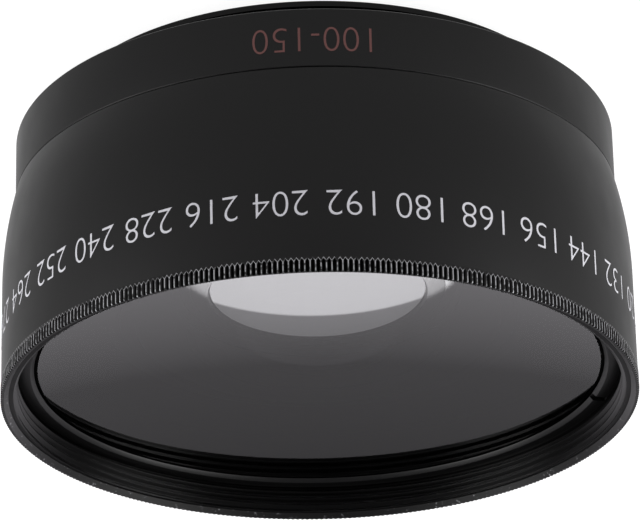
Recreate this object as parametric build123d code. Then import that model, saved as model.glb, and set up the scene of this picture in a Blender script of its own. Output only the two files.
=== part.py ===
from build123d import *

import os
from math import cos, pi, radians, sin, sqrt

# Wide-angle conversion lens, standing on the end of its rear mount thread with the
# front glass up. It is two turned metal units. The rear one is a close-up lens with
# the thread that fits the camera lens. The front one is the wide-angle unit, and it
# screws off. The origin is on the optical axis at the rear end of the mount thread,
# +Z runs to the front, and all sizes are in millimetres.

# Fits
thread_clearance = 0.05
element_clearance = 0.05
element_contact_gap = 0.02
thread_run_out = 0.1

# Front accessory thread, M60 x 0.75 female, drawn plain at its major radius
front_thread_radius = 30.0
front_thread_chamfer = 0.36

# Knurled rim round the front thread, and the groove behind it
rim_wall = 1.25
rim_height = 1.2
rim_groove_width = 0.3
rim_groove_depth = 0.3
knurl_pitch = 1.0
knurl_depth = 0.25

# Wide-angle barrel, straight in front and drawn in to the seam on an arc
barrel_inset = 0.05
shoulder_height = 9.7
seam_draw = 1.25
spigot_length = 1.6
seat_height = 2.5
throat_margin = 0.8

# Threaded ring that holds the front element
retainer_thread_step = 0.4
retainer_height = 1.85
retainer_skirt_wall = 0.7
retainer_lip_width = 1.55
retainer_lip_thickness = 0.4
retainer_lip_chamfer = 0.35

# Front element, flat in front and hollowed behind inside a flat border
front_element_recess = 3.4
front_element_centre = 3.0
front_element_border = 8.8
front_hollow_depth = 12.8

# Close-up housing behind the seam, with a socket for the barrel's spigot
macro_ring_height = 6.2
macro_rear_chamfer = 0.45
seam_chamfer = 0.22
socket_wall = 4.9
rear_recess_depth = 3.4
pocket_floor_thickness = 0.5

# Rear mount thread, M52 x 0.75 male, drawn plain at its major radius
mount_shoulder_width = 3.95
mount_thread_length = 2.9
mount_thread_wall = 1.7
mount_thread_chamfer = 0.35

# Close-up element, an equally biconvex glass, and the ring that holds it
macro_thread_inset = 6.4
macro_retainer_height = 1.0
macro_element_shelf = 1.6
macro_element_lip = 1.65
macro_element_edge = 1.6
macro_surface_radius = 69.0

# Spanner slots across both retaining rings
slot_width = 1.0
slot_depth = 0.35
front_slot_angle = 165.0
macro_slot_angle = 90.0


def rise(surface_radius, edge_radius):
    """Height of a spherical surface over a circle of this radius on it."""
    return surface_radius - sqrt(surface_radius**2 - edge_radius**2)


# Radii, from the front thread outwards, then from the barrel inwards
rim_radius = front_thread_radius + rim_wall
barrel_radius = rim_radius - barrel_inset
rim_groove_radius = barrel_radius - rim_groove_depth
macro_ring_radius = barrel_radius - seam_draw
mount_thread_radius = macro_ring_radius - mount_shoulder_width
rear_recess_radius = mount_thread_radius - mount_thread_wall
socket_radius = macro_ring_radius - socket_wall
spigot_radius = socket_radius - thread_clearance
macro_thread_radius = socket_radius - macro_thread_inset
macro_retainer_radius = macro_thread_radius - thread_clearance
macro_pocket_radius = macro_thread_radius - macro_element_shelf
macro_element_radius = macro_pocket_radius - element_clearance
macro_aperture_radius = macro_pocket_radius - macro_element_lip

# Radii inside the front thread
retainer_thread_radius = front_thread_radius - retainer_thread_step
retainer_radius = retainer_thread_radius - thread_clearance
pocket_radius = retainer_radius - retainer_skirt_wall
front_element_radius = pocket_radius - element_clearance
front_hollow_radius = front_element_radius - front_element_border
throat_radius = front_hollow_radius + throat_margin

# Heights of the close-up unit
seam_z = mount_thread_length + macro_ring_height
spigot_end_z = seam_z - spigot_length
pocket_floor_z = rear_recess_depth + pocket_floor_thickness
macro_bulge = rise(macro_surface_radius, macro_element_radius)
macro_contact_rise = macro_bulge - rise(macro_surface_radius, macro_aperture_radius)
macro_edge_z = pocket_floor_z + macro_contact_rise + element_contact_gap
macro_edge_top_z = macro_edge_z + macro_element_edge
macro_retainer_z = macro_edge_top_z + macro_contact_rise + element_contact_gap
macro_retainer_top_z = macro_retainer_z + macro_retainer_height

# Heights of the wide-angle unit
shoulder_top_z = seam_z + shoulder_height
element_seat_z = seam_z + seat_height
front_glass_z = element_seat_z + front_hollow_depth + front_element_centre
front_z = front_glass_z + front_element_recess
rim_z = front_z - rim_height
retainer_top_z = front_glass_z + retainer_lip_thickness
retainer_z = retainer_top_z - retainer_height


def path(*points):
    """Straight runs of an outline through (radius, height) points."""
    return Polyline([(radius, 0, height) for radius, height in points])


def turned(*lines):
    """Solid of revolution about the optical axis from a closed outline."""
    return revolve(make_face(Curve() + list(lines)), Axis.Z)


def disc(radius, bottom_z, top_z):
    """Round blank on the optical axis."""
    return extrude(Pos(0, 0, bottom_z) * Circle(radius), top_z - bottom_z)


def ball(radius, centre_z):
    """Sphere on the optical axis. Its poles point sideways, away from any glass."""
    return Pos(0, 0, centre_z) * Rot(90, 0, 0) * Sphere(radius)


def shoulder_point(depth):
    """(radius, height) on the arc that draws the barrel in to the seam."""
    arc_radius = (shoulder_height**2 + seam_draw**2) / (2 * seam_draw)
    return (barrel_radius - rise(arc_radius, depth), shoulder_top_z - depth)


def shoulder_arc():
    """Barrel's arc from the seam up to its straight part, tangent there."""
    depths = (shoulder_height, shoulder_height / 2, 0)
    points = [shoulder_point(depth) for depth in depths]
    return ThreePointArc(*[(radius, 0, height) for radius, height in points])


def knurl_gaps():
    """Everything outside the teeth of the straight knurl, as a cutter for the rim."""
    teeth = round(2 * pi * rim_radius / knurl_pitch)
    corners = []
    for step in range(2 * teeth):
        radius = rim_radius - knurl_depth * (step % 2)
        angle = radians(180.0 * step / teeth)
        corners.append((radius * cos(angle), radius * sin(angle)))
    gaps = Circle(rim_radius + knurl_pitch) - make_face(Polyline(corners, close=True))
    start_z = rim_z - rim_groove_width / 2
    return extrude(Pos(0, 0, start_z) * gaps, front_z + knurl_pitch - start_z)


def spanner_slots(ring_radius, top_z, angle):
    """Bar laid across a ring's top face, which cuts its two spanner slots."""
    bar = Box(3 * ring_radius, slot_width, 2 * slot_depth)
    return Pos(0, 0, top_z) * Rot(0, 0, angle) * bar


def macro_housing():
    """Rear ring with the mount thread, the lens pocket and the spigot's socket."""
    shelf_z = macro_retainer_z - thread_run_out
    floor_z = spigot_end_z - thread_run_out
    return turned(
        path(
            (mount_thread_radius - mount_thread_chamfer, 0),
            (mount_thread_radius, mount_thread_chamfer),
            (mount_thread_radius, mount_thread_length),
            (macro_ring_radius - macro_rear_chamfer, mount_thread_length),
            (macro_ring_radius, mount_thread_length + macro_rear_chamfer),
            (macro_ring_radius, seam_z - seam_chamfer),
            (macro_ring_radius - seam_chamfer, seam_z),
            (socket_radius, seam_z),
            (socket_radius, floor_z),
            (macro_thread_radius, floor_z),
            (macro_thread_radius, shelf_z),
            (macro_pocket_radius, shelf_z),
            (macro_pocket_radius, pocket_floor_z),
            (macro_aperture_radius, pocket_floor_z),
            (macro_aperture_radius, rear_recess_depth),
            (rear_recess_radius, rear_recess_depth),
            (rear_recess_radius, 0),
            (mount_thread_radius - mount_thread_chamfer, 0),
        )
    )


def macro_element():
    """Equally biconvex close-up lens with a ground cylindrical edge."""
    bottom_z = macro_edge_z - macro_bulge
    top_z = macro_edge_top_z + macro_bulge
    lens = disc(macro_element_radius, bottom_z, top_z)
    lens &= ball(macro_surface_radius, bottom_z + macro_surface_radius)
    return lens & ball(macro_surface_radius, top_z - macro_surface_radius)


def macro_retaining_ring():
    """Flat threaded ring that holds the close-up lens in its pocket."""
    ring = disc(macro_retainer_radius, macro_retainer_z, macro_retainer_top_z)
    ring -= disc(macro_aperture_radius, macro_retainer_z, macro_retainer_top_z)
    slots = spanner_slots(macro_retainer_radius, macro_retainer_top_z, macro_slot_angle)
    return ring - slots


def front_barrel():
    """Outer shell of the wide-angle unit with its knurled rim and its spigot."""
    shelf_z = retainer_z - thread_run_out
    blank = turned(
        path(
            (rim_radius, front_z),
            (front_thread_radius + front_thread_chamfer, front_z),
            (front_thread_radius, front_z - front_thread_chamfer),
            (front_thread_radius, retainer_top_z),
            (retainer_thread_radius, retainer_top_z),
            (retainer_thread_radius, shelf_z),
            (pocket_radius, shelf_z),
            (pocket_radius, element_seat_z),
            (throat_radius, element_seat_z),
            (throat_radius, spigot_end_z),
            (spigot_radius, spigot_end_z),
            (spigot_radius, seam_z),
            (macro_ring_radius, seam_z),
        ),
        shoulder_arc(),
        path(
            (barrel_radius, shoulder_top_z),
            (barrel_radius, rim_z - rim_groove_width),
            (rim_groove_radius, rim_z - rim_groove_width),
            (rim_groove_radius, rim_z),
            (rim_radius, rim_z),
            (rim_radius, front_z),
        ),
    )
    return blank - knurl_gaps()


def front_element():
    """Negative glass, flat in front, with a ground flat round its rear hollow."""
    hollow_top_z = front_glass_z - front_element_centre
    squares = front_hollow_radius**2 + front_hollow_depth**2
    surface_radius = squares / (2 * front_hollow_depth)
    blank = disc(front_element_radius, element_seat_z, front_glass_z)
    return blank - ball(surface_radius, hollow_top_z - surface_radius)


def front_retaining_ring():
    """Threaded ring with a thin lip over the edge of the front element."""
    skirt_radius = retainer_radius - retainer_skirt_wall
    lip_radius = retainer_radius - retainer_lip_width
    ring = turned(
        path(
            (lip_radius, front_glass_z),
            (skirt_radius, front_glass_z),
            (skirt_radius, retainer_z),
            (retainer_radius, retainer_z),
            (retainer_radius, retainer_top_z),
            (lip_radius + retainer_lip_chamfer, retainer_top_z),
            (lip_radius, retainer_top_z - retainer_lip_chamfer),
            (lip_radius, front_glass_z),
        )
    )
    return ring - spanner_slots(retainer_radius, retainer_top_z, front_slot_angle)


pieces = {
    "macro_housing": macro_housing,
    "macro_element": macro_element,
    "macro_retaining_ring": macro_retaining_ring,
    "front_barrel": front_barrel,
    "front_element": front_element,
    "front_retaining_ring": front_retaining_ring,
}

os.makedirs("parts", exist_ok=True)
for name, make in pieces.items():
    export_step(make(), f"parts/{name}.step")
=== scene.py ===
from math import atan2, ceil, cos, hypot, pi, radians, sin, sqrt

import bmesh
import bpy
from bpy.props import FloatProperty, FloatVectorProperty, IntProperty
from bpy.props import PointerProperty, StringProperty
from bpy.types import Operator, Panel, PropertyGroup
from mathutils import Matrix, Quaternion, Vector


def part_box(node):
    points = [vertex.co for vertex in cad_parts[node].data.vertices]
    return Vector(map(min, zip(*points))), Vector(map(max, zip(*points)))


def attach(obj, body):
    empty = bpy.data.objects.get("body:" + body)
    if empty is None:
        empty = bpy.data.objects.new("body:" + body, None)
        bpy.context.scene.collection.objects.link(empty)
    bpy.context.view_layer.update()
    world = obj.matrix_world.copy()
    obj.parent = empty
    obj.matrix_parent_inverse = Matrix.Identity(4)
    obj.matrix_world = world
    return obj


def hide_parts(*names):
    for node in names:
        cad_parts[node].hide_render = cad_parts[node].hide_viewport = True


bl_info = {
    "name": "Wide-angle conversion lens",
    "version": (1, 0, 0),
    "blender": (4, 5, 0),
    "location": "View3D > Sidebar > Converter",
    "description": "Builds the looks of a screw-on wide-angle conversion lens round its CAD frame",
    "category": "Add Mesh",
}

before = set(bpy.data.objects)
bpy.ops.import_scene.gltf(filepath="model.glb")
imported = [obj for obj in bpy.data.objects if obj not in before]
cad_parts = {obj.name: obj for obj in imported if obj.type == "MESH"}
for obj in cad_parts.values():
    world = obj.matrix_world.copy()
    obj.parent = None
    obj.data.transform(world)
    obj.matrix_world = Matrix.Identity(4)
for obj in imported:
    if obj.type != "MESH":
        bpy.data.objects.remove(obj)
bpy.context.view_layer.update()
MM = 0.001

# Clearance between pieces that fit into each other
FIT = 0.05 * MM
# Room behind a ring's thread for the tool to run out
TOOL_ROOM = 0.1 * MM
# Smallest step between two rows that would otherwise meet
HAIR = 0.01 * MM
# Radius that breaks the sharp edges of the barrel and the housing, and of the thin front ring
EDGE_BREAK = 0.05 * MM
RING_BREAK = 0.04 * MM
# Corners that turn by less than this are part of a curve and stay as they are
GENTLE_TURN = radians(20)
# Faces that meet at more than this keep a sharp edge between them
SHARP_EDGE = radians(32)

# Columns of faces round the axis
BARREL_COLUMNS = 720
FRONT_RING_COLUMNS = 720
HOUSING_COLUMNS = 540
CLOSE_UP_RING_COLUMNS = 480
GLASS_COLUMNS = 360
# Points nearer than this are the same point
SAME_POINT = 0.00001 * MM
# Angle from a spanner slot's wall to the column on each side of it
SLOT_WALL = 0.0003
# Rows of faces along the barrel's arc and the curved sides of both glasses
SHOULDER_ROWS = 20
HOLLOW_ROWS = 64
CLOSE_UP_ROWS = 32

# A thread's turn: (share of the pitch, share of the depth) at the ends of its flanks and flats
THREAD_PROFILE = (
    (0, 0), (0.04, 0.06), (0.29, 0.94), (0.33, 1), (0.47, 1), (0.51, 0.94), (0.76, 0.06), (0.8, 0)
)
# Share of the pitch over which a thread's turns fade out at its ends
THREAD_FADE = 0.3

# Pits of fine bead blasting, drawn about three times as coarse as real ones so that they show
BLASTED_GRAIN = 0.12 * MM
# Patches that handling has polished a little
HANDLED_PATCH = 6 * MM
# Rings of the lathe tool, as wide as the feed of a finishing cut
TOOL_MARK = 0.08 * MM
# Nicks and rubbed patches on worn edges
WORN_PATCH = 0.4 * MM
# Blotches in a thin film of paint or ink
FILM_MOTTLE = 0.35 * MM
# Nearly all values of a noise texture lie between these
NOISE_LOW = 0.3
NOISE_HIGH = 0.7

# Roughness of the metal finishes, matched to how far the lamps' light spreads on them
SATIN = 0.46
TURNED = 0.4
FACED = 0.35
CUT = 0.3
# Roughness and specular level of the films
DULL_PAINT = (0.9, 0.02)
SILKY_INK = (0.5, 0.3)
# Tint that dims the edge-on reflections of black anodised metal
OXIDE_TINT = (0.88, 0.88, 0.88, 1)
# Refractive index of common optical glass
GLASS_IOR = 1.5168

# Sockets of a range, in the order that the next values are given in
RANGE = ("From Min", "From Max", "To Min", "To Max")
# Levels of the room that shiny pieces mirror, against a direction's height, which is 0 at the
# horizon and 1 straight up
SKIRTING = (0.15, 0.3, 1.0, 0.26)
WALL = (0.375, 0.4, 0.26, 0.43)
BRIGHT_WALL = (0.397, 0.417, 0.0, 0.75)
CEILING = (0.43, 0.5, 1.0, 0.15)
# How much lower the wall's levels change to the sides
WALL_CURVE = 1.7
# Level of the room as seen through the glasses
ROOM_THROUGH_GLASS = 0.1
# Pool of light painted on the table, seen only through the glasses, with painted shade round it: its
# centre, and levels against the distance
PAINTED_LIGHT_CENTRE = (0, -22 * MM, 0)
PAINTED_LIGHT_PATCH = (29.6 * MM, 30.4 * MM, 0.64, 0.12)
# Level at which the table is seen and mirrored
TABLE_LEVEL = 0.9
# Own colour of the table and of the room
TABLE_GREY = (0.2, 0.2, 0.2, 1)
ROOM_WHITE = (0.98, 0.95, 1.0, 1)


def node_span(node):
    """Radius, lowest height and highest height of a turned CAD node, in metres."""
    low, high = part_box(node)
    return high[0], low[2], high[2]


RIM_RADIUS, SPIGOT_END_Z, FRONT_Z = node_span("front_barrel")
GLASS_RADIUS, GLASS_SEAT_Z, GLASS_FRONT_Z = node_span("front_element")
RING_RADIUS, RING_REAR_Z, RING_FRONT_Z = node_span("front_retaining_ring")
HOUSING_RADIUS, REAR_Z, SEAM_Z = node_span("macro_housing")
CLOSE_UP_RADIUS, CLOSE_UP_REAR_Z, CLOSE_UP_FRONT_Z = node_span("macro_element")
CLOSE_UP_RING_RADIUS, CLOSE_UP_RING_REAR_Z, CLOSE_UP_RING_FRONT_Z = node_span("macro_retaining_ring")


def linear(hex_colour):
    """Linear RGBA of an sRGB colour written as six hex digits."""
    channels = [int(hex_colour[i : i + 2], 16) / 255 for i in (0, 2, 4)]
    return [c / 12.92 if c <= 0.04045 else ((c + 0.055) / 1.055) ** 2.4 for c in channels] + [1.0]


def length(name, description, default):
    """A length property, in metres."""
    return FloatProperty(name=name, description=description, default=default, unit="LENGTH", precision=5)


def colour(name, description, hex_colour):
    """A colour property whose default is an sRGB hex value."""
    default = linear(hex_colour)
    return FloatVectorProperty(
        name=name, description=description, default=default, size=4, subtype="COLOR", min=0, max=1
    )


def heading(name, description, degrees):
    """An angle property whose default is given in degrees."""
    return FloatProperty(name=name, description=description, default=radians(degrees), subtype="ANGLE")


def location(name, description, default):
    """A point property, in metres."""
    return FloatVectorProperty(name=name, description=description, default=default, unit="LENGTH")


class BarrelSizes(PropertyGroup):
    """Sizes of the wide-angle barrel and its knurled rim."""

    radius: length("Radius", "Radius of the straight part", RIM_RADIUS - 0.05 * MM)
    shoulder_height: length("Shoulder height", "Height of the arc above the seam", 9.7 * MM)
    seam_chamfer: length("Seam chamfer", "Chamfer on both sides of the seam", 0.1 * MM)
    knurl_height: length("Knurl height", "Height of the knurled band", 1.35 * MM)
    knurl_pitch: length("Knurl pitch", "Distance from tooth to tooth", 0.5 * MM)
    knurl_depth: length("Knurl depth", "Depth of the gaps between the teeth", 0.24 * MM)
    knurl_run_out: length("Knurl run-out", "Height of the pointed end of each gap", 0.28 * MM)
    knurl_crest: length("Knurl crest", "Width of each tooth's flat crest", 0.1 * MM)
    worn_edge: length("Worn edge", "Width of the bare metal along the knurl's edges", 0.08 * MM)
    front_thread_radius: length("Front thread", "Major radius of the front thread", 30.0 * MM)
    rim_land: length("Rim land", "Width of the flat at the very front", 0.1 * MM)
    mouth_chamfer: length("Mouth chamfer", "Chamfer between the land and the front thread", 0.45 * MM)
    throat_radius: length("Throat", "Radius of the bore behind the glass", 20.8 * MM)
    spigot_radius: length("Spigot", "Radius of the spigot behind the seam", 25.0 * MM)


class ThreadSizes(PropertyGroup):
    """Sizes that the front and rear threads share."""

    pitch: length("Pitch", "Distance from turn to turn", 0.75 * MM)
    depth: length("Depth", "Depth of the turns", 0.4 * MM)


class HousingSizes(PropertyGroup):
    """Sizes of the close-up housing and its rear thread."""

    thread_radius: length("Rear thread", "Major radius of the rear thread", 26.0 * MM)
    thread_length: length("Thread length", "Length of the rear thread", 2.9 * MM)
    thread_break: length("Thread break", "Chamfer at the end of the rear thread", 0.06 * MM)
    collar: length("Collar", "Height of the plain collar at the end of the rear thread", 0.6 * MM)
    relief: length("Relief", "Width and depth of the groove in front of the rear thread", 0.5 * MM)
    recess_radius: length("Recess radius", "Radius of the recess inside the rear thread", 24.3 * MM)
    recess_depth: length("Recess depth", "Depth of the recess inside the rear thread", 3.4 * MM)
    pocket_floor: length("Pocket floor", "Thickness of the floor under the close-up glass", 0.5 * MM)
    rear_chamfer: length("Rear chamfer", "Chamfer at the rear of the housing", 0.14 * MM)
    socket_radius: length("Socket", "Radius of the socket for the spigot", 25.05 * MM)
    shelf: length("Shelf", "Width of the shelf between ring thread and glass pocket", 1.6 * MM)


class GlassSizes(PropertyGroup):
    """Sizes of both glasses and their rings."""

    centre: length("Centre", "Thickness of the front glass on the axis", 3.0 * MM)
    hollow_radius: length("Hollow", "Radius of the hollow's edge", 20.0 * MM)
    front_bevel: length("Front bevel", "Blackened bevel round the front of the glass", 1.15 * MM)
    rear_bevel: length("Rear bevel", "Blackened bevel round the rear of the glass", 0.2 * MM)
    lip_radius: length("Lip", "Inner radius of the front ring's lip", 28.0 * MM)
    lip_chamfer: length("Lip chamfer", "Chamfer inside the front ring's lip", 0.35 * MM)
    skirt_radius: length("Skirt", "Inner radius of the front ring's skirt", 28.85 * MM)
    close_up_surface: length("Close-up surface", "Radius of the close-up glass's surfaces", 69.0 * MM)
    aperture_radius: length("Aperture", "Radius of the hole in the close-up ring", 15.8 * MM)
    slot_width: length("Slot width", "Width of the spanner slots", 1.0 * MM)
    slot_depth: length("Slot depth", "Depth of the spanner slots", 0.35 * MM)
    front_slot: heading("Front slot", "Direction of the front ring's slots", 165)
    close_up_slot: heading("Close-up slot", "Direction of the close-up ring's slots", 90)


class PrintSizes(PropertyGroup):
    """Sizes of the printed numerals."""

    height: length("Height", "Height of the numerals", 2.56 * MM)
    thickness: length("Thickness", "How far the ink stands proud", 0.02 * MM)
    step: IntProperty(name="Step", description="Degrees between numerals", default=12, min=6, max=90)
    zero: IntProperty(name="Zero", description="Direction of the numeral 0 in degrees", default=72)
    squeeze: FloatProperty(name="Squeeze", description="Width against the font's own", default=0.96)
    thinning: FloatProperty(
        name="Thinning", description="How far the strokes are drawn in, in font units", default=0.018
    )
    barrel_z: length("Barrel row", "Height of the white row's feet", 22.56 * MM)
    housing_z: length("Housing row", "Height of the red row's feet", 4.95 * MM)
    housing_text: StringProperty(
        name="Housing numerals", description="Numerals on the housing", default="100-150"
    )


class Finishes(PropertyGroup):
    """Colours of the finishes."""

    anodised: colour("Anodised", "Satin black anodised aluminium", "1f1f1f")
    housing: colour("Housing", "Satin black of the housing", "1f1f1f")
    ring: colour("Ring", "Black of the front ring and of the worn knurl", "2c2c2c")
    # Darker than the anodised black: painted shade in the knurl's gaps; the rear thread takes it too
    gaps: colour("Gaps", "Black of the knurl's gaps and the rear thread", "1c1c1c")
    glass: colour("Glass", "Tint of the front glass", "eeedf0")
    close_up_glass: colour("Close-up glass", "Tint of the close-up glass", "fbfbfc")
    paint: colour("Paint", "Black paint on the glasses' edges and lacquer inside", "0e0e0e")
    bare: colour("Bare", "Bare aluminium where the rim is worn", "8a8a8c")
    white_ink: colour("White ink", "Ink of the barrel's numerals", "b2b2b6")
    red_ink: colour("Red ink", "Ink of the housing's numerals", "4f2f2c")


class StageSizes(PropertyGroup):
    """Places and levels of the camera, the lamps and the table."""

    camera: location("Camera", "Place of the camera", (0, -388.18 * MM, 194.39 * MM))
    aim: location("Aim", "Point that the camera looks at", (-0.31 * MM, 0, 15.3 * MM))
    roll: heading("Roll", "Turn of the picture", 178.69)
    focal_length: FloatProperty(name="Focal length", description="Focal length in mm", default=241.7)
    low_place: location("Low softboxes", "Place of the low one at +X", (0.53, -0.14, 0.18))
    low_size: length("Low size", "Width and height of the low softboxes", 0.35)
    low_level: FloatProperty(name="Low level", description="Radiance of the low pair", default=5.5)
    high_place: location("High softboxes", "Place of the high one at +X", (0.5, -0.12, 0.38))
    high_size: length("High size", "Width and height of the high softboxes", 0.45)
    high_level: FloatProperty(name="High level", description="Radiance of the high pair", default=3.2)
    left_share: FloatProperty(name="Left share", description="Level at -X against +X", default=1.15)
    spot_power: FloatProperty(name="Ring spot", description="Power of the spot in W", default=480.0)
    spot_height: length("Spot height", "Height of the spot lamp above the ring", 300 * MM)
    spot_radius: length("Spot radius", "Radius of the spot's light on the ring", 20.3 * MM)
    spot_offset: length("Spot offset", "Where the spot's light falls along Y", -14.7 * MM)
    spot_shift: length("Spot shift", "Where the spot's light falls along X", -0.9 * MM)
    floor_radius: length("Table", "Radius of the round table", 4.0)


def add_node(tree, kind, settings=None, links=None):
    """Adds a node, sets its properties and sockets, and links its inputs to (node, output) pairs."""
    node = tree.nodes.new(kind)
    for key, value in (settings or {}).items():
        if isinstance(key, str) and key.islower():
            setattr(node, key, value)
        else:
            node.inputs[key].default_value = value
    for key, (source, output) in (links or {}).items():
        tree.links.new(source.outputs[output], node.inputs[key])
    return node


def new_material(name):
    """An empty node material of this name."""
    material = bpy.data.materials.new(name)
    material.use_nodes = True
    material.node_tree.nodes.clear()
    return material


def anodised_aluminium(name, base):
    """Bead-blasted and black anodised aluminium: a thin dyed oxide layer over metal, so its
    reflections are dim and satin, and grow pale at the edges. The blasted pits break them up."""
    material = new_material(name)
    tree = material.node_tree
    coords = add_node(tree, "ShaderNodeTexCoord")
    fine = add_node(
        tree,
        "ShaderNodeTexNoise",
        {"Scale": 1 / BLASTED_GRAIN, "Detail": 3.0, "Roughness": 0.6},
        {"Vector": (coords, "Object")},
    )
    cloudy = add_node(
        tree,
        "ShaderNodeTexNoise",
        {"Scale": 1 / HANDLED_PATCH, "Detail": 4.0},
        {"Vector": (coords, "Object")},
    )
    gloss = add_node(
        tree,
        "ShaderNodeMapRange",
        dict(zip(RANGE, (NOISE_LOW, NOISE_HIGH, SATIN - 0.03, SATIN + 0.03))),
        {"Value": (cloudy, "Fac")},
    )
    bump = add_node(
        tree, "ShaderNodeBump", {"Strength": 0.08, "Distance": 0.01 * MM}, {"Height": (fine, "Fac")}
    )
    shader = add_node(
        tree,
        "ShaderNodeBsdfPrincipled",
        {"Base Color": base, "Metallic": 1.0, "Specular Tint": OXIDE_TINT},
        {"Roughness": (gloss, "Result"), "Normal": (bump, "Normal")},
    )
    add_node(tree, "ShaderNodeOutputMaterial", links={"Surface": (shader, "BSDF")})
    return material


def turned_aluminium(name, base, roughness):
    """Black anodised aluminium straight off the lathe: fine rings from the tool's feed run round
    the axis and show as faint streaks."""
    material = new_material(name)
    tree = material.node_tree
    coords = add_node(tree, "ShaderNodeTexCoord")
    flat = add_node(
        tree, "ShaderNodeVectorMath", {"operation": "MULTIPLY", 1: (1, 1, 0)}, {0: (coords, "Object")}
    )
    distance = add_node(tree, "ShaderNodeVectorMath", {"operation": "LENGTH"}, {0: (flat, "Vector")})
    marks = add_node(
        tree,
        "ShaderNodeTexNoise",
        {"noise_dimensions": "1D", "Scale": 1 / TOOL_MARK, "Detail": 2.0},
        {"W": (distance, "Value")},
    )
    bump = add_node(
        tree, "ShaderNodeBump", {"Strength": 0.2, "Distance": 0.01 * MM}, {"Height": (marks, "Fac")}
    )
    gloss = add_node(
        tree,
        "ShaderNodeMapRange",
        {"To Min": roughness - 0.04, "To Max": roughness + 0.04},
        {"Value": (marks, "Fac")},
    )
    shader = add_node(
        tree,
        "ShaderNodeBsdfPrincipled",
        {"Base Color": base, "Metallic": 1.0, "Specular Tint": OXIDE_TINT},
        {"Roughness": (gloss, "Result"), "Normal": (bump, "Normal")},
    )
    add_node(tree, "ShaderNodeOutputMaterial", links={"Surface": (shader, "BSDF")})
    return material


def worn_aluminium(name, base, bare, cover):
    """Black anodised aluminium with bare metal where handling has rubbed it. The bare patches are
    bright, a few tenths of a millimetre wide, and take about this share of the surface."""
    material = new_material(name)
    tree = material.node_tree
    coords = add_node(tree, "ShaderNodeTexCoord")
    rubbing = add_node(
        tree,
        "ShaderNodeTexNoise",
        {"Scale": 1 / WORN_PATCH, "Detail": 2.0},
        {"Vector": (coords, "Object")},
    )
    start = NOISE_HIGH - (NOISE_HIGH - NOISE_LOW) * cover
    amount = add_node(
        tree,
        "ShaderNodeMapRange",
        {"From Min": start, "From Max": start + 0.15},
        {"Value": (rubbing, "Fac")},
    )
    wear = add_node(
        tree, "ShaderNodeMix", {"data_type": "RGBA", 6: base, 7: bare}, {0: (amount, "Result")}
    )
    shader = add_node(
        tree,
        "ShaderNodeBsdfPrincipled",
        {"Metallic": 1.0, "Roughness": TURNED},
        {"Base Color": (wear, 2)},
    )
    add_node(tree, "ShaderNodeOutputMaterial", links={"Surface": (shader, "BSDF")})
    return material


def optical_glass(name, tint):
    """Polished optical glass: clear, with sharp reflections and next to no tint."""
    material = new_material(name)
    tree = material.node_tree
    shader = add_node(
        tree,
        "ShaderNodeBsdfPrincipled",
        {"Base Color": tint, "Transmission Weight": 1.0, "IOR": GLASS_IOR, "Roughness": 0.0},
    )
    add_node(tree, "ShaderNodeOutputMaterial", links={"Surface": (shader, "BSDF")})
    return material


def matt_coat(name, base, roughness, specular):
    """A thin matt film, such as edge-blackening paint, lacquer or pad-printed ink: even in colour,
    a little darker in blotches where it dried thinner."""
    material = new_material(name)
    tree = material.node_tree
    coords = add_node(tree, "ShaderNodeTexCoord")
    mottle = add_node(
        tree,
        "ShaderNodeTexNoise",
        {"Scale": 1 / FILM_MOTTLE, "Detail": 3.0},
        {"Vector": (coords, "Object")},
    )
    thinner = [c * 0.86 for c in base[:3]] + [1]
    dried = add_node(tree, "ShaderNodeMix", {"data_type": "RGBA", "A": thinner, "B": base})
    tree.links.new(mottle.outputs["Fac"], dried.inputs["Factor"])
    shader = add_node(
        tree, "ShaderNodeBsdfPrincipled", {"Roughness": roughness, "Specular IOR Level": specular}
    )
    tree.links.new(dried.outputs["Result"], shader.inputs["Base Color"])
    add_node(tree, "ShaderNodeOutputMaterial", links={"Surface": (shader, "BSDF")})
    return material


def eased(outline, radius):
    """The outline with each of its corners rounded to about this radius."""
    soft = []
    count = len(outline)
    for index, (r, z) in enumerate(outline):
        before, after = outline[index - 1], outline[(index + 1) % count]
        into = (r - before[0], z - before[1])
        out = (after[0] - r, after[1] - z)
        reach = min(radius, hypot(*into) / 3, hypot(*out) / 3)
        turn = abs(atan2(into[0] * out[1] - into[1] * out[0], into[0] * out[0] + into[1] * out[1]))
        if turn < GENTLE_TURN or r == 0:
            soft.append((r, z))
            continue
        start = (r - into[0] / hypot(*into) * reach, z - into[1] / hypot(*into) * reach)
        end = (r + out[0] / hypot(*out) * reach, z + out[1] / hypot(*out) * reach)
        middle = tuple((start[k] + end[k]) / 4 + (r, z)[k] / 2 for k in (0, 1))
        soft += [start, middle, end]
    return soft


def even_angles(count):
    """Angles of this many columns round the axis, with the first one again at the end."""
    return [2 * pi * column / count for column in range(count + 1)]


def turned_mesh(name, angles, outline_at, coat_at=None):
    """Mesh of a closed outline swept round the axis, from the first angle to the last one, which
    meets it. outline_at gives the outline's (radius, height) points at a column, and coat_at
    the material index of the strip after a point."""
    outlines = [outline_at(column, angle) for column, angle in enumerate(angles)]
    rows = len(outlines[0])
    verts = []
    for angle, outline in zip(angles, outlines):
        verts += [(r * cos(angle), r * sin(angle), z) for r, z in outline]
    faces, coats = [], []
    for column in range(len(angles) - 1):
        here, there = column * rows, (column + 1) * rows
        for row in range(rows):
            above = (row + 1) % rows
            faces.append((here + row, there + row, there + above, here + above))
            coats.append(coat_at(column, row) if coat_at else 0)
    mesh = bpy.data.meshes.new(name)
    mesh.from_pydata(verts, [], faces)
    mesh.polygons.foreach_set("material_index", coats)
    shape = bmesh.new()
    shape.from_mesh(mesh)
    bmesh.ops.remove_doubles(shape, verts=shape.verts, dist=SAME_POINT)
    bmesh.ops.recalc_face_normals(shape, faces=shape.faces)
    shape.to_mesh(mesh)
    shape.free()
    return mesh


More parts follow.
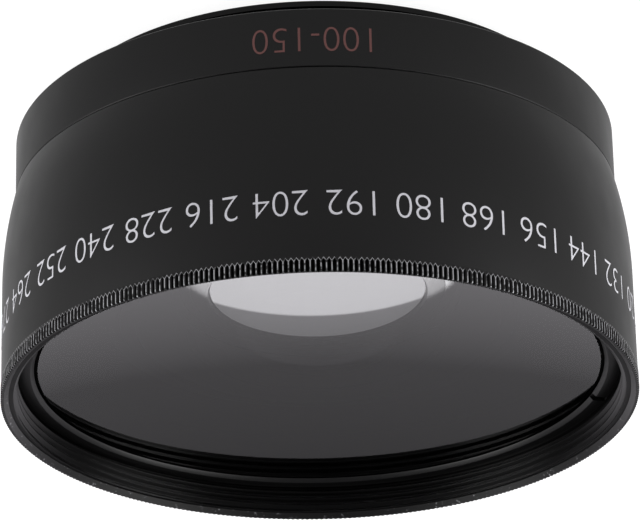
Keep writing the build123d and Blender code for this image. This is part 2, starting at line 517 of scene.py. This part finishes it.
def new_piece(mesh, materials, body, replaced=None):
    """Adds an object of this mesh with these materials, smooth but for its sharp edges. It rides on a body,
    and replaces a CAD node where one is given."""
    piece = bpy.data.objects.new(mesh.name, mesh)
    bpy.context.scene.collection.objects.link(piece)
    for material in materials:
        mesh.materials.append(material)
    mesh.shade_smooth()
    mesh.set_sharp_from_angle(angle=SHARP_EDGE)
    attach(piece, body)
    if replaced:
        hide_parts(replaced)


def thread_rows(sizes, root_radius, side, low, high, angle):
    """(radius, height) points up one side of a helical thread. side is 1 for turns that stand
    out from the root and -1 for turns that stand in. The turns fade out at both ends."""
    points = []
    fade_height = THREAD_FADE * sizes.pitch
    for turn in range(-1, ceil((high - low) / sizes.pitch) + 1):
        for share, tooth in THREAD_PROFILE:
            z = min(high, max(low, low + sizes.pitch * (turn + share + angle / (2 * pi))))
            fade = min(1, (z - low) / fade_height, (high - z) / fade_height)
            points.append((root_radius + side * sizes.depth * tooth * fade, z))
    return points


def shoulder_points(sizes):
    """(radius, height) points up the barrel's arc, from the seam's chamfer to its straight part."""
    drop = sizes.radius - HOUSING_RADIUS
    arc_radius = (sizes.shoulder_height**2 + drop**2) / (2 * drop)
    top_z = SEAM_Z + sizes.shoulder_height
    points = []
    for step in range(SHOULDER_ROWS + 1):
        depth = (sizes.shoulder_height - sizes.seam_chamfer) * (1 - step / SHOULDER_ROWS)
        points.append((sizes.radius - arc_radius + sqrt(arc_radius**2 - depth**2), top_z - depth))
    return points


def knurled_mesh(sizes, inner_radius):
    """Mesh of the knurled rim. Its gaps are cut into the barrel's skin and end in points behind.
    Its materials are 0 satin black, 1 rubbed bare, 2 a darker black on the gaps' flanks as painted shade,
    with a fresh cut's roughness, and 3 nicked."""
    teeth = round(2 * pi * RIM_RADIUS / sizes.knurl_pitch)
    half = sizes.knurl_crest / (2 * RIM_RADIUS)
    angles = []
    for tooth in range(teeth):
        centre = 2 * pi * tooth / teeth
        angles += [centre - half, centre + half, centre + pi / teeth]
    angles.append(2 * pi - half)
    rear_z = FRONT_Z - sizes.knurl_height
    edge = sizes.worn_edge
    land_radius = inner_radius + sizes.mouth_chamfer
    # Material 2 on the flanks is the darker black that paints the shade in the gaps
    crest_coats = (0, 0, 1, 1, 1, 1, 3, 3, 0)
    flank_coats = (0, 0, 1, 2, 2, 2, 3, 3, 0)

    def outline(column, angle):
        in_gap = column % 3 == 2
        drop = sizes.knurl_depth if in_gap else 0.0
        start_z = rear_z + (0.0 if in_gap else sizes.knurl_run_out)
        return [
            (inner_radius, rear_z - 2 * edge),
            (sizes.radius, rear_z - 2 * edge),
            (RIM_RADIUS, start_z - edge),
            (RIM_RADIUS, start_z),
            (RIM_RADIUS - drop, rear_z + sizes.knurl_run_out + HAIR),
            (RIM_RADIUS - drop, FRONT_Z - edge),
            (min(RIM_RADIUS - drop, RIM_RADIUS - edge), FRONT_Z),
            (land_radius, FRONT_Z),
            (inner_radius, FRONT_Z - sizes.mouth_chamfer),
        ]

    def coat(column, row):
        return (flank_coats if column % 3 else crest_coats)[row]

    return turned_mesh("knurled_rim", angles, outline, coat)


class CONVERTER_OT_barrel(Operator):
    """Barrel with its front thread, and its knurled rim"""

    bl_idname = "converter.barrel"
    bl_label = "Barrel"

    def execute(self, context):
        sizes = context.scene.converter_barrel
        thread = context.scene.converter_thread
        finishes = context.scene.converter_finishes
        pocket_radius = GLASS_RADIUS + FIT
        bore_radius = RING_RADIUS + FIT
        bore_end_z = RING_REAR_Z - TOOL_ROOM
        mouth_radius = RIM_RADIUS - sizes.knurl_depth - sizes.rim_land - sizes.mouth_chamfer
        mouth_z = FRONT_Z - sizes.mouth_chamfer
        skin_z = FRONT_Z - sizes.knurl_height
        outside = eased(
            [
                (sizes.throat_radius, SPIGOT_END_Z),
                (sizes.spigot_radius, SPIGOT_END_Z),
                (sizes.spigot_radius, SEAM_Z),
                (HOUSING_RADIUS - sizes.seam_chamfer, SEAM_Z),
                *shoulder_points(sizes),
                (sizes.radius, skin_z),
                (mouth_radius + FIT, skin_z),
                (mouth_radius + FIT, mouth_z),
            ],
            EDGE_BREAK,
        )
        inside = eased(
            [
                (bore_radius, RING_FRONT_Z),
                (bore_radius, bore_end_z),
                (pocket_radius, bore_end_z),
                (pocket_radius, GLASS_SEAT_Z),
                (sizes.throat_radius, GLASS_SEAT_Z),
            ],
            EDGE_BREAK,
        )

        def outline(column, angle):
            turns = thread_rows(thread, sizes.front_thread_radius, -1, RING_FRONT_Z, mouth_z, angle)
            return outside + turns[::-1] + inside

        inside_row = len(outline(0, 0)) - len(inside)

        def coat(column, row):
            if row < len(outside):
                return 0
            return 1 if row < inside_row else 2

        satin = anodised_aluminium("Anodised aluminium, satin black", finishes.anodised)
        threads = turned_aluminium("Anodised aluminium, cut threads", finishes.anodised, CUT)
        lacquer = matt_coat("Matt black lacquer inside", finishes.paint, *DULL_PAINT)
        # Darker black with a fresh cut's roughness: painted shade in the knurl's gaps
        cut = turned_aluminium("Anodised aluminium, knurl gaps with painted shade", finishes.gaps, CUT)
        rubbed = worn_aluminium("Anodised aluminium, rubbed bare", finishes.ring, finishes.bare, 0.8)
        nicked = worn_aluminium("Anodised aluminium, nicked", finishes.ring, finishes.bare, 0.15)
        shell = turned_mesh("barrel_shell", even_angles(BARREL_COLUMNS), outline, coat)
        new_piece(shell, [satin, threads, lacquer], "wide_angle_unit", "front_barrel")
        rim = knurled_mesh(sizes, mouth_radius)
        new_piece(rim, [satin, rubbed, cut, nicked], "wide_angle_unit")
        return {"FINISHED"}


class CONVERTER_OT_front_glass(Operator):
    """Front glass with its blackened edge"""

    bl_idname = "converter.front_glass"
    bl_label = "Front glass"

    def execute(self, context):
        sizes = context.scene.converter_glass
        finishes = context.scene.converter_finishes
        vertex_z = GLASS_FRONT_Z - sizes.centre
        depth = vertex_z - GLASS_SEAT_Z
        surface_radius = (sizes.hollow_radius**2 + depth**2) / (2 * depth)
        half_angle = atan2(sizes.hollow_radius, surface_radius - depth)
        hollow = []
        for step in range(HOLLOW_ROWS + 1):
            angle = half_angle * (1 - step / HOLLOW_ROWS)
            hollow.append((surface_radius * sin(angle), vertex_z - surface_radius * (1 - cos(angle))))
        front = [(GLASS_RADIUS - sizes.front_bevel, GLASS_FRONT_Z), (0.0, GLASS_FRONT_Z)]
        border = [
            (GLASS_RADIUS - sizes.rear_bevel, GLASS_SEAT_Z),
            (GLASS_RADIUS, GLASS_SEAT_Z + sizes.rear_bevel),
            (GLASS_RADIUS, GLASS_FRONT_Z - sizes.front_bevel),
        ]
        points = hollow[::-1] + border + front
        clear_rows = set(range(len(hollow) - 1)) | {len(points) - 2, len(points) - 1}
        mesh = turned_mesh(
            "front_glass",
            even_angles(GLASS_COLUMNS),
            lambda column, angle: points,
            lambda column, row: 0 if row in clear_rows else 1,
        )
        glass = optical_glass("Optical glass, front", finishes.glass)
        paint = matt_coat("Edge-blackening paint", finishes.paint, *DULL_PAINT)
        new_piece(mesh, [glass, paint], "wide_angle_unit", "front_element")
        return {"FINISHED"}


def slot_angles(count, sizes, direction, ring_radius):
    """Column angles with a close pair at each wall of the two spanner slots."""
    half = sizes.slot_width / (2 * ring_radius)
    walls = [direction + turn + side * half for turn in (0, pi) for side in (-1, 1)]
    pairs = [(wall + nudge) % (2 * pi) for wall in walls for nudge in (-SLOT_WALL, SLOT_WALL)]
    return sorted(even_angles(count) + pairs)


def slot_drop(sizes, direction, ring_radius, angle):
    """How far the ring's top lies lower at this angle."""
    half = sizes.slot_width / (2 * ring_radius)
    away = abs((angle - direction + pi / 2) % pi - pi / 2)
    return sizes.slot_depth if away < half else 0.0


class CONVERTER_OT_front_ring(Operator):
    """Ring over the edge of the front glass, with two spanner slots"""

    bl_idname = "converter.front_ring"
    bl_label = "Front retaining ring"

    def execute(self, context):
        sizes = context.scene.converter_glass

        def outline(column, angle):
            drop = slot_drop(sizes, sizes.front_slot, RING_RADIUS, angle)
            top_z = RING_FRONT_Z - drop
            lip = max(0.0, sizes.lip_chamfer - drop)
            return eased(
                [
                    (sizes.lip_radius, GLASS_FRONT_Z),
                    (sizes.skirt_radius, GLASS_FRONT_Z),
                    (sizes.skirt_radius, RING_REAR_Z),
                    (RING_RADIUS, RING_REAR_Z),
                    (RING_RADIUS, top_z),
                    (sizes.lip_radius + lip + HAIR, top_z),
                    (sizes.lip_radius, top_z - lip - HAIR),
                ],
                RING_BREAK,
            )

        angles = slot_angles(FRONT_RING_COLUMNS, sizes, sizes.front_slot, RING_RADIUS)
        mesh = turned_mesh("front_ring", angles, outline)
        base = context.scene.converter_finishes.ring
        finish = turned_aluminium("Anodised aluminium, turned black", base, TURNED)
        new_piece(mesh, [finish], "wide_angle_unit", "front_retaining_ring")
        return {"FINISHED"}


class CONVERTER_OT_housing(Operator):
    """Close-up housing with the rear mount thread"""

    bl_idname = "converter.housing"
    bl_label = "Close-up housing"

    def execute(self, context):
        sizes = context.scene.converter_housing
        thread = context.scene.converter_thread
        seam_chamfer = context.scene.converter_barrel.seam_chamfer
        aperture_radius = context.scene.converter_glass.aperture_radius
        shoulder_z = REAR_Z + sizes.thread_length
        relief_z = shoulder_z - sizes.relief
        relief_radius = sizes.thread_radius - sizes.relief
        socket_end_z = SPIGOT_END_Z - TOOL_ROOM
        bore_radius = CLOSE_UP_RING_RADIUS + FIT
        bore_end_z = CLOSE_UP_RING_REAR_Z - TOOL_ROOM
        pocket_radius = bore_radius - sizes.shelf
        pocket_floor_z = sizes.recess_depth + sizes.pocket_floor
        root_radius = sizes.thread_radius - thread.depth
        collar_z = REAR_Z + sizes.collar
        outside = eased(
            [
                (relief_radius, relief_z),
                (relief_radius, shoulder_z),
                (HOUSING_RADIUS - sizes.rear_chamfer, shoulder_z),
                (HOUSING_RADIUS, shoulder_z + sizes.rear_chamfer),
                (HOUSING_RADIUS, SEAM_Z - seam_chamfer),
                (HOUSING_RADIUS - seam_chamfer, SEAM_Z),
                (sizes.socket_radius, SEAM_Z),
            ],
            EDGE_BREAK,
        )
        inside = [
            (sizes.socket_radius, socket_end_z),
            (bore_radius, socket_end_z),
            (bore_radius, bore_end_z),
            (pocket_radius, bore_end_z),
            (pocket_radius, pocket_floor_z),
            (aperture_radius, pocket_floor_z),
            (aperture_radius, sizes.recess_depth),
            (sizes.recess_radius, sizes.recess_depth),
            (sizes.recess_radius, REAR_Z),
        ]

        def outline(column, angle):
            collar = [
                (sizes.thread_radius - sizes.thread_break, REAR_Z),
                (sizes.thread_radius, REAR_Z + sizes.thread_break),
                (sizes.thread_radius, collar_z),
            ]
            turns = thread_rows(thread, root_radius, 1, collar_z + TOOL_ROOM, relief_z, angle)
            return collar + turns + outside + inside

        inside_row = len(outline(0, 0)) - len(inside)
        # The bore, the shelf, the pocket's wall and floor, and the aperture
        lacquered = range(inside_row + 1, inside_row + 6)

        def coat(column, row):
            if row < inside_row - len(outside):
                return 1
            return 2 if row in lacquered else 0

        mesh = turned_mesh("close_up_housing", even_angles(HOUSING_COLUMNS), outline, coat)
        finishes = context.scene.converter_finishes
        satin = anodised_aluminium("Anodised aluminium, satin black, rear", finishes.housing)
        threads = turned_aluminium("Anodised aluminium, cut threads, rear", finishes.gaps, CUT)
        lacquer = matt_coat("Matt black lacquer inside, rear", finishes.paint, *DULL_PAINT)
        new_piece(mesh, [satin, threads, lacquer], "close_up_unit", "macro_housing")
        return {"FINISHED"}


class CONVERTER_OT_close_up_glass(Operator):
    """Biconvex close-up glass"""

    bl_idname = "converter.close_up_glass"
    bl_label = "Close-up glass"

    def execute(self, context):
        sizes = context.scene.converter_glass
        finishes = context.scene.converter_finishes
        surface_radius = sizes.close_up_surface
        bulge = surface_radius - sqrt(surface_radius**2 - CLOSE_UP_RADIUS**2)
        half_angle = atan2(CLOSE_UP_RADIUS, surface_radius - bulge)
        arc = []
        for step in range(CLOSE_UP_ROWS + 1):
            angle = half_angle * step / CLOSE_UP_ROWS
            arc.append((surface_radius * sin(angle), surface_radius * (1 - cos(angle))))
        lower = [(r, CLOSE_UP_REAR_Z + z) for r, z in arc]
        upper = [(r, CLOSE_UP_FRONT_Z - z) for r, z in reversed(arc)]
        points = lower + upper
        mesh = turned_mesh(
            "close_up_glass",
            even_angles(GLASS_COLUMNS),
            lambda column, angle: points,
            lambda column, row: 1 if row == len(lower) - 1 else 0,
        )
        glass = optical_glass("Optical glass, close-up", finishes.close_up_glass)
        paint = matt_coat("Edge-blackening paint, rear", finishes.paint, *DULL_PAINT)
        new_piece(mesh, [glass, paint], "close_up_unit", "macro_element")
        return {"FINISHED"}


class CONVERTER_OT_close_up_ring(Operator):
    """Flat ring over the close-up glass, with two spanner slots"""

    bl_idname = "converter.close_up_ring"
    bl_label = "Close-up retaining ring"

    def execute(self, context):
        sizes = context.scene.converter_glass

        def outline(column, angle):
            drop = slot_drop(sizes, sizes.close_up_slot, CLOSE_UP_RING_RADIUS, angle)
            top_z = CLOSE_UP_RING_FRONT_Z - drop
            return [
                (sizes.aperture_radius, CLOSE_UP_RING_REAR_Z),
                (CLOSE_UP_RING_RADIUS, CLOSE_UP_RING_REAR_Z),
                (CLOSE_UP_RING_RADIUS, top_z),
                (sizes.aperture_radius, top_z),
            ]

        angles = slot_angles(CLOSE_UP_RING_COLUMNS, sizes, sizes.close_up_slot, CLOSE_UP_RING_RADIUS)
        mesh = turned_mesh("close_up_ring", angles, outline)
        base = context.scene.converter_finishes.anodised
        finish = turned_aluminium("Anodised aluminium, turned black, rear", base, FACED)
        new_piece(mesh, [finish], "close_up_unit", "macro_retaining_ring")
        return {"FINISHED"}


def flat_numeral(context, text, thinning):
    """(vertices, faces) of a flat text, its strokes thinned."""
    curve = bpy.data.curves.new("numeral", "FONT")
    curve.body = text
    curve.resolution_u = 6
    curve.offset = -thinning
    holder = bpy.data.objects.new("numeral", curve)
    context.scene.collection.objects.link(holder)
    context.view_layer.update()
    flat = bpy.data.meshes.new_from_object(holder.evaluated_get(context.evaluated_depsgraph_get()))
    verts = [tuple(v.co) for v in flat.vertices]
    faces = [tuple(p.vertices) for p in flat.polygons]
    bpy.data.objects.remove(holder)
    bpy.data.curves.remove(curve)
    bpy.data.meshes.remove(flat)
    return verts, faces


def printed_mesh(context, name, texts, radius, foot_z, sizes):
    """Mesh of texts wrapped round a cylinder. texts holds (text, angle of its centre) pairs."""
    verts, faces = [], []
    for text, centre in texts:
        points, polygons = flat_numeral(context, text, sizes.thinning)
        left, right = min(p[0] for p in points), max(p[0] for p in points)
        foot, top = min(p[1] for p in points), max(p[1] for p in points)
        scale = sizes.height / (top - foot)
        start = len(verts)
        for x, y, _ in points:
            angle = centre + (x - (left + right) / 2) * scale * sizes.squeeze / radius
            z = foot_z + (y - foot) * scale
            reach = radius + sizes.thickness
            verts.append((reach * cos(angle), reach * sin(angle), z))
        faces += [tuple(start + corner for corner in polygon) for polygon in polygons]
    mesh = bpy.data.meshes.new(name)
    mesh.from_pydata(verts, [], faces)
    return mesh


class CONVERTER_OT_numerals(Operator):
    """White numerals round the barrel and a red range on the housing"""

    bl_idname = "converter.numerals"
    bl_label = "Printed numerals"

    def execute(self, context):
        sizes = context.scene.converter_print
        finishes = context.scene.converter_finishes
        barrel_radius = context.scene.converter_barrel.radius
        row = range(sizes.step, 360 + 1, sizes.step)
        texts = [(str(degrees), radians(degrees + sizes.zero)) for degrees in row]
        white = matt_coat("Pad-printing ink, white", finishes.white_ink, *SILKY_INK)
        mesh = printed_mesh(context, "barrel_numerals", texts, barrel_radius, sizes.barrel_z, sizes)
        new_piece(mesh, [white], "wide_angle_unit")
        red = matt_coat("Pad-printing ink, red", finishes.red_ink, *SILKY_INK)
        texts = [(sizes.housing_text, radians(-90))]
        mesh = printed_mesh(context, "housing_numerals", texts, HOUSING_RADIUS, sizes.housing_z, sizes)
        new_piece(mesh, [red], "close_up_unit")
        return {"FINISHED"}


def floor_material():
    """Matt white table. It is seen and mirrored as white, with the lens's soft shadow. Through the glasses
    it shows a round pool of light painted into its glow, where light would fall through the lens, and
    painted shade round it."""
    material = new_material("Table laminate, matt white")
    tree = material.node_tree
    path = add_node(tree, "ShaderNodeLightPath")
    spot = add_node(tree, "ShaderNodeNewGeometry")
    distance = add_node(
        tree,
        "ShaderNodeVectorMath",
        {"operation": "DISTANCE", 1: PAINTED_LIGHT_CENTRE},
        {0: (spot, "Position")},
    )
    # Painted light: bright inside the round pool, painted shade outside it
    painted_light = add_node(
        tree, "ShaderNodeMapRange", dict(zip(RANGE, PAINTED_LIGHT_PATCH)), {"Value": (distance, "Value")}
    )
    seen = add_node(
        tree,
        "ShaderNodeMath",
        {"operation": "MAXIMUM"},
        {0: (path, "Is Camera Ray"), 1: (path, "Is Glossy Ray")},
    )
    plain = add_node(
        tree, "ShaderNodeMath", {"operation": "MULTIPLY", 1: TABLE_LEVEL}, {0: (seen, "Value")}
    )
    level = add_node(
        tree,
        "ShaderNodeMix",
        {"data_type": "FLOAT"},
        {0: (path, "Is Transmission Ray"), 2: (plain, "Value"), 3: (painted_light, "Result")},
    )
    glow = add_node(
        tree, "ShaderNodeEmission", {"Color": (1, 1, 1, 1)}, {"Strength": (level, 0)}
    )
    matt = add_node(tree, "ShaderNodeBsdfDiffuse", {"Color": TABLE_GREY})
    both = add_node(tree, "ShaderNodeAddShader", links={0: (glow, "Emission"), 1: (matt, "BSDF")})
    add_node(tree, "ShaderNodeOutputMaterial", links={"Surface": (both, "Shader")})
    return material


def light_world():
    """Soft white room. Shiny pieces mirror its walls, dim above a pale skirting and bright further
    up, under a dim ceiling. Through the glasses it is nearly dark."""
    world = bpy.data.worlds.new("Soft white room")
    world.use_nodes = True
    tree = world.node_tree
    tree.nodes.clear()
    path = add_node(tree, "ShaderNodeLightPath")
    coords = add_node(tree, "ShaderNodeTexCoord")
    parts = add_node(tree, "ShaderNodeSeparateXYZ", links={"Vector": (coords, "Generated")})
    across = add_node(
        tree, "ShaderNodeMath", {"operation": "MULTIPLY"}, {0: (parts, "X"), 1: (parts, "X")}
    )
    curved = add_node(
        tree,
        "ShaderNodeMath",
        {"operation": "MULTIPLY_ADD", 1: WALL_CURVE},
        {0: (across, "Value"), 2: (parts, "Z")},
    )
    bands = [
        add_node(tree, "ShaderNodeMapRange", dict(zip(RANGE, band)), {"Value": height})
        for band, height in (
            (WALL, (curved, "Value")),
            (SKIRTING, (parts, "Z")),
            (BRIGHT_WALL, (curved, "Value")),
            (CEILING, (parts, "Z")),
        )
    ]
    level = bands[0]
    for operation, band in zip(("MAXIMUM", "ADD", "MULTIPLY"), bands[1:]):
        level = add_node(
            tree, "ShaderNodeMath", {"operation": operation}, {0: (level, 0), 1: (band, 0)}
        )
    mirrored = add_node(
        tree,
        "ShaderNodeMix",
        {"data_type": "FLOAT", 2: 1.0},
        {0: (path, "Is Glossy Ray"), 3: (level, 0)},
    )
    shown = add_node(
        tree,
        "ShaderNodeMix",
        {"data_type": "FLOAT", 3: ROOM_THROUGH_GLASS},
        {0: (path, "Is Transmission Ray"), 2: (mirrored, 0)},
    )
    back = add_node(tree, "ShaderNodeBackground", {"Color": ROOM_WHITE}, {"Strength": (shown, 0)})
    add_node(tree, "ShaderNodeOutputWorld", links={"Surface": (back, "Background")})
    bpy.context.scene.world = world


def add_softbox(name, place, size, radiance):
    """Square area lamp that faces the lens, and that isn't seen through the glasses."""
    lamp = bpy.data.lights.new(name, "AREA")
    lamp.size = size
    lamp.energy = radiance * pi * size * size
    holder = bpy.data.objects.new(name, lamp)
    holder.location = place
    holder.visible_transmission = False
    aim = Vector((0, 0, FRONT_Z / 2)) - Vector(place)
    holder.rotation_euler = aim.to_track_quat("-Z", "Y").to_euler()
    bpy.context.scene.collection.objects.link(holder)


def add_ring_spot(sizes):
    """Narrow lamp straight above. It stands for the light that falls through the front glass on
    the close-up ring and its housing, so only the barrel and the front ring shade it."""
    lamp = bpy.data.lights.new("ring spot", "SPOT")
    lamp.energy = sizes.spot_power
    lamp.spot_size = 2 * atan2(sizes.spot_radius, sizes.spot_height)
    lamp.spot_blend = 0.08
    lamp.shadow_soft_size = MM
    holder = bpy.data.objects.new("ring spot", lamp)
    holder.location = (sizes.spot_shift, sizes.spot_offset, CLOSE_UP_RING_FRONT_Z + sizes.spot_height)
    lit = bpy.data.collections.new("lit through the glass")
    shading = bpy.data.collections.new("shading that light")
    for name in ("close_up_ring", "close_up_housing"):
        lit.objects.link(bpy.context.scene.objects[name])
    for name in ("barrel_shell", "front_ring"):
        shading.objects.link(bpy.context.scene.objects[name])
    holder.light_linking.receiver_collection = lit
    holder.light_linking.blocker_collection = shading
    bpy.context.scene.collection.objects.link(holder)


def aimed_camera(sizes):
    """Camera that looks at its aim with the picture turned by its roll."""
    camera = bpy.data.cameras.new("camera")
    camera.lens = sizes.focal_length
    camera.clip_start = 10 * MM
    holder = bpy.data.objects.new("camera", camera)
    holder.location = sizes.camera
    upright = (Vector(sizes.aim) - Vector(sizes.camera)).to_track_quat("-Z", "Y")
    holder.rotation_mode = "QUATERNION"
    holder.rotation_quaternion = upright @ Quaternion((0, 0, 1), sizes.roll)
    bpy.context.scene.collection.objects.link(holder)
    bpy.context.scene.camera = holder


class CONVERTER_OT_stage(Operator):
    """Table, room, lamps and camera"""

    bl_idname = "converter.stage"
    bl_label = "Stage"

    def execute(self, context):
        sizes = context.scene.converter_stage
        bpy.ops.mesh.primitive_circle_add(vertices=96, radius=sizes.floor_radius, fill_type="NGON")
        floor = context.object
        floor.name = "floor"
        floor.data.materials.append(floor_material())
        light_world()
        for name, side, share in (("left", -1, sizes.left_share), ("right", 1, 1.0)):
            x, y, z = sizes.low_place
            add_softbox(f"{name} softbox", (side * x, y, z), sizes.low_size, share * sizes.low_level)
            x, y, z = sizes.high_place
            add_softbox(f"high {name} softbox", (side * x, y, z), sizes.high_size, share * sizes.high_level)
        add_ring_spot(sizes)
        aimed_camera(sizes)
        context.scene.view_settings.view_transform = "Standard"
        return {"FINISHED"}


OPERATORS = (
    CONVERTER_OT_barrel,
    CONVERTER_OT_front_glass,
    CONVERTER_OT_front_ring,
    CONVERTER_OT_housing,
    CONVERTER_OT_close_up_glass,
    CONVERTER_OT_close_up_ring,
    CONVERTER_OT_numerals,
    CONVERTER_OT_stage,
)

SETTINGS = {
    "converter_barrel": BarrelSizes,
    "converter_thread": ThreadSizes,
    "converter_housing": HousingSizes,
    "converter_glass": GlassSizes,
    "converter_print": PrintSizes,
    "converter_finishes": Finishes,
    "converter_stage": StageSizes,
}


class CONVERTER_PT_panel(Panel):
    """Lists the pieces of the lens and their sizes"""

    bl_label = "Converter"
    bl_space_type = "VIEW_3D"
    bl_region_type = "UI"
    bl_category = "Converter"

    def draw(self, context):
        layout = self.layout
        for operator in OPERATORS:
            layout.operator(operator.bl_idname)
        for attribute, group in SETTINGS.items():
            box = layout.box()
            for key in group.__annotations__:
                box.prop(getattr(context.scene, attribute), key)


def register():
    """Registers the settings, the operators and the panel."""
    for attribute, group in SETTINGS.items():
        bpy.utils.register_class(group)
        setattr(bpy.types.Scene, attribute, PointerProperty(type=group))
    for group in (*OPERATORS, CONVERTER_PT_panel):
        bpy.utils.register_class(group)


def unregister():
    """Takes the panel, the operators and the settings off again."""
    for group in (CONVERTER_PT_panel, *reversed(OPERATORS)):
        bpy.utils.unregister_class(group)
    for attribute, group in SETTINGS.items():
        delattr(bpy.types.Scene, attribute)
        bpy.utils.unregister_class(group)


def main():
    """Builds every piece in turn."""
    register()
    bpy.ops.converter.barrel()
    bpy.ops.converter.front_glass()
    bpy.ops.converter.front_ring()
    bpy.ops.converter.housing()
    bpy.ops.converter.close_up_glass()
    bpy.ops.converter.close_up_ring()
    bpy.ops.converter.numerals()
    bpy.ops.converter.stage()


if __name__ == "__main__":
    main()
